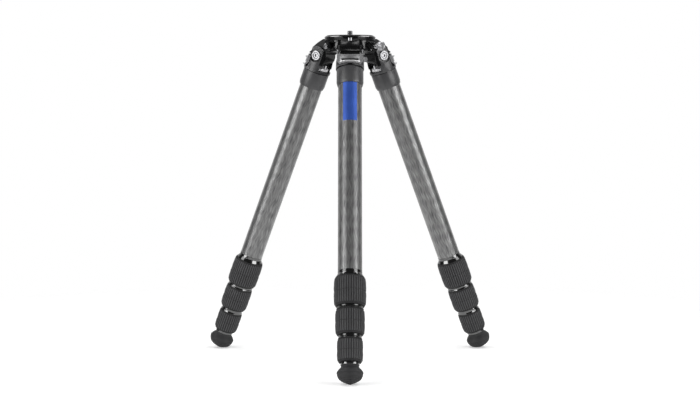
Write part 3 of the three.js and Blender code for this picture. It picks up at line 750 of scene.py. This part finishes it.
for leg, place in legs.items():
    centre = place @ Matrix.Translation((-behind_leg * MM, 0, 0))
    face, groove_floor = face_reach + behind_leg, groove_reach + behind_leg
    grip = turned("grip", softened([
        (grip_root, -tab_top), (face, -tab_top), (lip_round, -(tab_top + 2)), (face, -(tab_top + 3.4)),
        (face, -groove_end), (face - 1.3, -groove_end), (face - 0.4, 3.4 - tab_end), (lip_round, 2 - tab_end),
        (face, -tab_end), (grip_root, -tab_end), (grip_root, -tab_top)], 0.3)[:-1],
        satin_metal, steps=160, place=centre, closed=True)
    groove = turned("tool", [
        (groove_floor, -groove_end), (outside, -groove_end), (outside, -groove_top),
        (groove_floor, -groove_top)], satin_metal, steps=160, place=centre, closed=True)
    carve(groove, block(0, outside, groove_half, -tab_end, 0, place), "INTERSECT")
    carve(grip, tab_space(outside, 0, place), "INTERSECT")
    carve(grip, block(0, outside, grip_half, -tab_end - 1, 0, place), "INTERSECT")
    carve(grip, groove)
    tab = tab_space(wing_outer, 0, place)
    tab.name = f"{leg}_angle_tab_body"
    carve(tab, block(0, outside, grip_half - 0.3, -tab_end - 1, 0, place))
    carve(tab, grip, "UNION")
    to_leg = place.inverted()
    for point in tab.data.vertices:
        spot = to_leg @ point.co / MM
        point.co = place @ ((spot + Vector((0, 0, bend(spot.y, spot.z)))) * MM)
    break_edges(tab, 0.25)
    coat(tab, satin_metal, black_coat, scoop_highlight_metal)  # painted shade: the undercut groove black; painted highlight: the scoop below it pale
    for facet in tab.data.polygons:
        spot = to_leg @ facet.center / MM
        reach = math.hypot(spot.x + behind_leg, spot.y) - behind_leg
        spot.z -= bend(spot.y, spot.z)
        in_groove_shade = (-groove_end - 0.2 < spot.z < -groove_top + 0.2 and abs(spot.y) < groove_half + 0.1
                     and groove_reach - 0.3 < reach < face_reach - 0.2)
        in_scoop_highlight = (scoop_foot - tab_end < spot.z < -groove_end and abs(spot.y) < grip_half - 0.3
                    and reach > face_reach - scoop_depth)
        facet.material_index = 1 if in_groove_shade else 2 if in_scoop_highlight else 0
    stands_for(tab, f"{leg}_angle_tab", f"{leg}_tab")

# ---------------- Tube plugs
# A turned alloy plug with a small post, pressed in the top of each leg and seen in the open back of the fork.
alloy_with_painted_sheen = turned_metal("alloy_with_painted_sheen", (0.85, 0.85, 0.87), 0.45)
# only partly metallic, so its pale colour shows from every side: a painted reflection of the soft box
set_inputs(alloy_with_painted_sheen.node_tree.nodes["Principled BSDF"], {"Metallic": 0.35})
for leg, place in legs.items():
    plug = turned(f"{leg}_tube_plug_turned", softened([
        (0, -19.3), (17.6, -19.3), (18.4, -20.1), (18.4, -24.0), (15.9, -24.2), (15.9, -30.8), (18.2, -30.8),
        (18.2, -39.2), (14.2, -39.2), (14.2, -33.2), (0, -33.2)], 0.25), alloy_with_painted_sheen, place=place)
    post = turned(f"{leg}_tube_plug_post", softened([(0, -20), (1.6, -20), (1.6, -13.6), (0, -13.6)], 0.3),
                  alloy_with_painted_sheen, steps=32, place=place @ Matrix.Translation((-14 * MM, 0, 0)))
    for piece in (plug, post):
        stands_for(piece, f"{leg}_tube_plug", f"{leg}_leg")

# ---------------- Carbon fibre tubes
# Four tubes to a leg, wound from tows that cross in long narrow diamonds under a satin clear coat.
tube_radii = (20, 18, 16, 14)
tube_wall = 1.5
tube_tops = (30.5, 46, 50, 54)
tube_ends = (420.7, 475.2, 524.7, 539.0)
spigots = (386.4, 437.1, 489.2, None)  # where each tube is turned down for its ferrule
tow_count = 28  # diamonds round a tube
tow_twist = 0.0095  # radians a tow turns round the tube in a millimetre of length


def carbon_weave():
    """Two families of steep tows, each with streaks along it, that take turns on top in long diamonds.
    u runs once round the tube and v counts millimetres along it."""
    material, nodes, links, shader = material_parts("carbon_weave", {
        "Metallic": 0.55, "Coat Weight": 0.7, "Coat Roughness": 0.26})
    chart = nodes.new("ShaderNodeUVMap")
    chart.uv_map = "UVMap"
    split = nodes.new("ShaderNodeSeparateXYZ")
    links.new(chart.outputs["UV"], split.inputs["Vector"])

    def calc(operation, first, second=None):
        """A math node of this material."""
        return maths(nodes, links, operation, first, second)

    round_tube = calc("MULTIPLY", split.outputs["X"], math.tau)
    twist = calc("MULTIPLY", split.outputs["Y"], tow_twist)
    left_hand = calc("ADD", round_tube, twist)
    right_hand = calc("SUBTRACT", round_tube, twist)

    def streaks(angle, across, length, seed):
        """Noise drawn out along a tow, closed round the tube."""
        spot = nodes.new("ShaderNodeCombineXYZ")
        links.new(calc("MULTIPLY", calc("COSINE", angle), across), spot.inputs["X"])
        links.new(calc("MULTIPLY", calc("SINE", angle), across), spot.inputs["Y"])
        links.new(calc("ADD", calc("DIVIDE", split.outputs["Y"], length), seed), spot.inputs["Z"])
        return noise(nodes, links, spot.outputs["Vector"], {"Scale": 1, "Detail": 3, "Roughness": 0.65})

    # A tow shows on top where the product of the two waves is high.
    wave_left = calc("SINE", calc("MULTIPLY", left_hand, tow_count / 2))
    wave_right = calc("SINE", calc("MULTIPLY", right_hand, tow_count / 2))
    over = mapped(nodes, links, calc("MULTIPLY", wave_left, wave_right), {
        "From Min": -0.6, "From Max": 0.6}, "SMOOTHSTEP")
    fibre = nodes.new("ShaderNodeMix")
    links.new(over, fibre.inputs["Factor"])
    links.new(streaks(left_hand, 7, 34, 1.3), fibre.inputs["A"])
    links.new(streaks(right_hand, 7, 34, 7.9), fibre.inputs["B"])
    shade = calc("ADD", calc("MULTIPLY", fibre.outputs["Result"], 0.92), calc("MULTIPLY", over, 0.08))
    tone = nodes.new("ShaderNodeValToRGB")
    tone.color_ramp.elements[0].position = 0.3
    tone.color_ramp.elements[0].color = (0.042, 0.042, 0.043, 1)
    tone.color_ramp.elements[1].position = 0.75
    tone.color_ramp.elements[1].color = (0.27, 0.27, 0.268, 1)
    links.new(shade, tone.inputs["Fac"])
    links.new(tone.outputs["Color"], shader.inputs["Base Color"])
    gloss = mapped(nodes, links, shade, {"From Min": 0.3, "From Max": 0.7, "To Min": 0.46, "To Max": 0.32})
    links.new(gloss, shader.inputs["Roughness"])
    raise_surface(nodes, links, shader, shade, 0.5, 0.0003)
    return material


carbon = carbon_weave()
tube_bodies = ("leg", "section_2", "section_3", "section_4")
for leg, place in legs.items():
    for number, (radius, start, end) in enumerate(zip(tube_radii, tube_tops, tube_ends)):
        inner = radius - tube_wall
        outer_step = radius - tube_wall / 2
        shoulder = spigots[number]
        outline = [(inner, -start), (radius, -start)]
        if shoulder:
            outline += [(radius, -shoulder), (outer_step, -shoulder), (outer_step, -end)]
        else:
            outline += [(radius, -end)]
        outline += [(inner, -end)]
        tube = turned(f"{leg}_tube_{number + 1}_wound", outline, carbon, steps=96, closed=True,
                      place=place @ Matrix.Rotation(math.pi, 4, "Z"))
        stands_for(tube, f"{leg}_tube_{number + 1}", f"{leg}_{tube_bodies[number]}")

# ---------------- Label
# A plain blue foil strip stuck down the outer face of the front leg's top tube.
label_top, label_end, label_width = 58.2, 127.3, 25
columns, label_rows = 24, 12
half_angle, label_radius = label_width / 2 / tube_radii[0], tube_radii[0] + 0.12
blue_foil = coated_metal("blue_foil", (0.04, 0.1, 0.42), 0.42, 900, 0.08, metallic=0.45, gloss_level=0.3)
bm = bmesh.new()
skin = []
for i in range(label_rows + 1):
    drop = label_top + (label_end - label_top) * i / label_rows
    angles = [half_angle * (2 * k / columns - 1) for k in range(columns + 1)]
    skin.append([bm.verts.new((label_radius * MM * math.cos(angle), label_radius * MM * math.sin(angle),
                               -drop * MM)) for angle in angles])
for upper, lower in zip(skin, skin[1:]):
    for k in range(columns):
        bm.faces.new((lower[k], lower[k + 1], upper[k + 1], upper[k]))
label = piece_from(bm, "front_tube_label", legs["front"])
film = label.modifiers.new("film", "SOLIDIFY")
film.thickness = 0.1 * MM
film.offset = -1
plain(label)
label.data.materials.append(blue_foil)
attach(label, "front_leg")

# ---------------- Ferrules
# The gloss black ring at the end of each tube, with the cone that runs in under the twist lock.
gloss_black = coated_metal("gloss_black", (0.003, 0.003, 0.003), 0.12, 60, 0.02)
set_inputs(gloss_black.node_tree.nodes["Principled BSDF"], {"IOR": 2.1})
lock_tops = (396.7, 451.2, 500.7)
lock_ends = (445.7, 493.7, 539.0)
lock_radii = (26.7, 24.4, 21.4)
lock_cones = (5.2, 9, 6.4)
cone_radii = (23.1, 22.8, 20.1)  # each cone where it meets its grip
ring_radii = (20.25, 21.5, 18.9)  # the plain ring above each cone's flare
flare_lengths = (5.2, 2.6, 2.8)
lock_gap, ring_height = 0.3, 4.5
for leg, place in legs.items():
    for k in range(3):
        seat = lock_tops[k] - lock_gap
        cone_top = seat - lock_cones[k]
        ring_top = cone_top - ring_height
        bore = tube_radii[k] - tube_wall / 2 + 0.35
        proud = tube_radii[k] + 0.25
        thread = tube_radii[k] + 1.6
        outline = [(bore, -ring_top), (proud, -ring_top), (proud, -cone_top)]
        if k > 0:
            lock_above = lock_ends[k - 1] + 0.2
            outline += [(ring_radii[k] - 1.6, -lock_above), (ring_radii[k], -lock_above),
                        (ring_radii[k], -(seat - flare_lengths[k]))]
        outline += [(cone_radii[k], -seat), (thread, -seat), (thread, -tube_ends[k]), (bore, -tube_ends[k]),
                    (bore, -ring_top)]
        ferrule = turned(f"{leg}_ferrule_{k + 1}_turned", softened(outline, 0.4)[:-1], gloss_black,
                         place=place, closed=True)
        stands_for(ferrule, f"{leg}_ferrule_{k + 1}", f"{leg}_{tube_bodies[k]}")

# ---------------- Twist locks
# Each is a sleeve with a moulded rubber grip: a swelling above and below a narrow waist, both cut with fine
# lengthwise ribs.
grip_rubber = soft_rubber("grip_rubber", (0.052, 0.052, 0.054), 0.6)
# darker rubber on the sleeve between the ribs: painted shade in the grooves
rubber_with_painted_groove_shade = soft_rubber("rubber_with_painted_groove_shade", (0.012, 0.012, 0.0125), 0.7)
rib_pitch = 4.2
rib_radius = 1.5
rib_relief = 0.75
grip_shoulders = (1.7, 1.2, 0.8)  # how far each grip is rounded in at its upper edge


def grip_points(radius, length, shoulder):
    """The grip's outline as (radius, distance below its top)."""
    waist = length / 2
    return [(radius - shoulder - 0.6, 0.0), (radius - shoulder - 0.2, 0.6), (radius - 0.7 * shoulder, 3),
            (radius - 0.3 * shoulder, 7), (radius, waist - 6), (radius - 0.25, waist - 1.6),
            (radius - 0.5, waist - 0.5), (radius - 0.5, waist + 0.5), (radius - 0.25, waist + 1.6),
            (radius, waist + 6), (radius - 0.35, length - 8), (radius - 0.9, length - 3.6),
            (radius - 2.0, length - 0.7), (radius - 2.6, length)]


def ribs(name, radius, length, shoulder, place):
    """Ribs that follow the grip's outline above and below its waist, copied round the leg."""
    path = bpy.data.curves.new(name, "CURVE")
    path.dimensions = "3D"
    waist = length / 2
    for start, end in ((2.0, waist - 0.4), (waist + 0.4, length - 1.6)):
        run = [(r, d) for r, d in grip_points(radius, length, shoulder) if start < d < end]
        spline = path.splines.new("POLY")
        spline.points.add(len(run) - 1)
        for point, (r, d) in zip(spline.points, run):
            point.co = ((r - rib_radius) * MM, 0, -d * MM, 1)
    line = placed(name + "_line", path)

    def build(nodes, links, given, copies):
        """One rib turned about the leg's axis, once for each share of the circle."""
        source = set_inputs(nodes.new("GeometryNodeObjectInfo"), {"Object": line})
        section = set_inputs(nodes.new("GeometryNodeCurvePrimitiveCircle"), {"Resolution": 6})
        links.new(given["Width"], section.inputs["Radius"])
        rib = set_inputs(nodes.new("GeometryNodeCurveToMesh"), {"Fill Caps": True})
        links.new(source.outputs["Geometry"], rib.inputs["Curve"])
        links.new(section.outputs["Curve"], rib.inputs["Profile Curve"])
        seats = set_inputs(nodes.new("GeometryNodeMeshLine"), {"Offset": (0, 0, 0)})
        links.new(given["Ribs"], seats.inputs["Count"])
        number = nodes.new("GeometryNodeInputIndex")
        share = maths(nodes, links, "DIVIDE", number.outputs["Index"], given["Ribs"])
        turn = nodes.new("ShaderNodeCombineXYZ")
        links.new(maths(nodes, links, "MULTIPLY", share, math.tau), turn.inputs["Z"])
        links.new(seats.outputs["Mesh"], copies["Points"])
        links.new(rib.outputs["Mesh"], copies["Instance"])
        links.new(turn.outputs["Vector"], copies["Rotation"])

    sizes = {"Ribs": round(math.tau * radius / rib_pitch), "Width": rib_radius * MM}
    piece = grown(name, sizes, build, grip_rubber, place)
    bpy.data.objects.remove(line)
    return piece


for leg, place in legs.items():
    for k in range(3):
        radius, length = lock_radii[k], lock_ends[k] - lock_tops[k]
        thread_bore, tube_bore = tube_radii[k] + 2.2, tube_radii[k + 1] + 0.8
        mouth = (tube_bore + 2.4, tube_bore + 1.4, tube_bore)[k]
        outer = [(r - rib_relief, -(lock_tops[k] + d))
                 for r, d in grip_points(radius, length, grip_shoulders[k])]
        step = tube_ends[k] + 0.6
        inner = [(mouth, -lock_ends[k]), (tube_bore, -(lock_ends[k] - 5)), (tube_bore, -step),
                 (thread_bore, -step), (thread_bore, -lock_tops[k])]
        grip = turned(f"{leg}_lock_{k + 1}_grip", softened(outer + inner + outer[:1], 0.4)[:-1],
                      rubber_with_painted_groove_shade, steps=120, place=place, closed=True)
        ribbing = ribs(f"{leg}_lock_{k + 1}_ribs", radius, length, grip_shoulders[k],
                       place @ Matrix.Translation((0, 0, -lock_tops[k] * MM)))
        for piece in (grip, ribbing):
            stands_for(piece, f"{leg}_lock_{k + 1}", f"{leg}_lock_ring_{k + 1}")

# ---------------- Feet
# A gloss black collar pressed in the last tube carries a screwed-on mushroom of rubber with ringed treads.
foot_rubber = soft_rubber("foot_rubber", (0.02, 0.02, 0.021), 0.62)
collar_top, collar_end = 539.3, 543.7
foot_top, foot_widest, band_end, heel_end, foot_tip = 544.0, 555.4, 558.8, 564.4, 575.3
foot_rings, ring_depth, rings_end, tread_steps, tread_radius = 5, 0.9, 0.92, 80, 19
mount_top = 517.3
for leg, place in legs.items():
    collar = turned(f"{leg}_foot_mount_turned", softened([
        (0, -mount_top), (12.2, -mount_top), (12.2, -collar_top), (15.1, -collar_top),
        (15.5, -(collar_top + 0.5)), (15.5, -(collar_end - 0.5)), (15.1, -collar_end), (4.6, -collar_end),
        (4.6, -(collar_end + 11)), (0, -(collar_end + 11))], 0.3), gloss_black, place=place)
    stands_for(collar, f"{leg}_foot_mount", f"{leg}_section_4")
    # The tread is a blunt cone with shallow rings round the tip.
    tread = []
    for i in range(tread_steps + 1):
        share = i / tread_steps
        radius = tread_radius * (1 - share ** 1.5)
        groove = ring_depth * max(0.0, math.sin(share * math.tau * foot_rings)) if share < rings_end else 0
        tread.append((radius - 0.3 * groove, -(heel_end + (foot_tip - 0.1 - heel_end) * share - groove)))
    tread[-1] = (0, -foot_tip)
    foot = turned(f"{leg}_foot_moulded", softened([
        (0, -(foot_top + 12)), (4.9, -(foot_top + 12)), (4.9, -foot_top), (14.8, -foot_top),
        (14.8, -(foot_top + 2.4)), (15.8, -(foot_top + 4)), (18.3, -(foot_top + 6.2)),
        (20.5, -(foot_widest - 2.2)), (21.65, -foot_widest), (21.5, -(band_end - 1.5)),
        (20.7, -(band_end - 0.9)), (20.7, -(band_end - 0.2)), (21.1, -(band_end + 0.4)),
        (20.4, -(band_end + 2.6)), (tread_radius, -heel_end)], 0.5)[:-1] + tread,
        foot_rubber, steps=120, place=place)
    stands_for(foot, f"{leg}_foot", f"{leg}_section_4")
